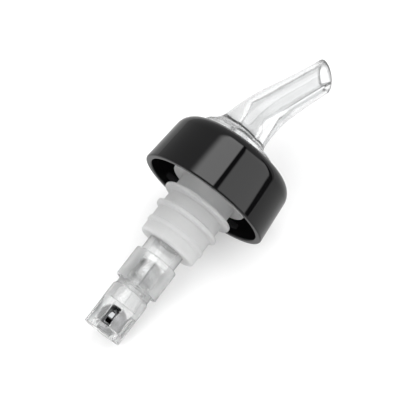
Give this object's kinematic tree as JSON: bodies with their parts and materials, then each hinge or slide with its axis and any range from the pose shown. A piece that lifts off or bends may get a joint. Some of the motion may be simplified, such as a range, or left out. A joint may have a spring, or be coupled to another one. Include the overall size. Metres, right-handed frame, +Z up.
{
  "type": "measured pourer",
  "caption": "Measured pourer for a bottle: clear angled spout, black skirted collar, finned translucent stopper and a metering tube with caged steel balls.",
  "frame": {"origin": "centre of the ring face under the stopper's flange, which sits on the bottle's rim, on the stopper's axis", "axes": "+Z up along the stopper's axis to the spout, +X the way the spout leans, +Y to complete a right-handed frame"},
  "size_m": [0.038, 0.038, 0.0964],
  "materials": {
    "clear_plastic": "clear, polished",
    "black_plastic": "glossy",
    "soft_white": "satin, translucent",
    "milky_plastic": "satin, translucent",
    "ball_steel": "polished"
  },
  "bodies": {
    "body": {"spout": "clear_plastic", "collar": "black_plastic", "stopper": "soft_white", "pour_tube": "milky_plastic", "shield_sleeve": "milky_plastic", "metering_disc": "milky_plastic", "tail_cage": "milky_plastic"},
    "cutoff_ball": {"cutoff_ball": "ball_steel"},
    "check_ball": {"check_ball": "ball_steel"}
  },
  "joints": [
    {"name": "cutoff_ball_slide", "type": "slide", "parent": "body", "child": "cutoff_ball", "axis": [0, 0, 1], "range_m": [0, 0.006]},
    {"name": "check_ball_slide", "type": "slide", "parent": "body", "child": "check_ball", "axis": [0, 0, 1], "range_m": [0, 0.0068]}
  ]
}
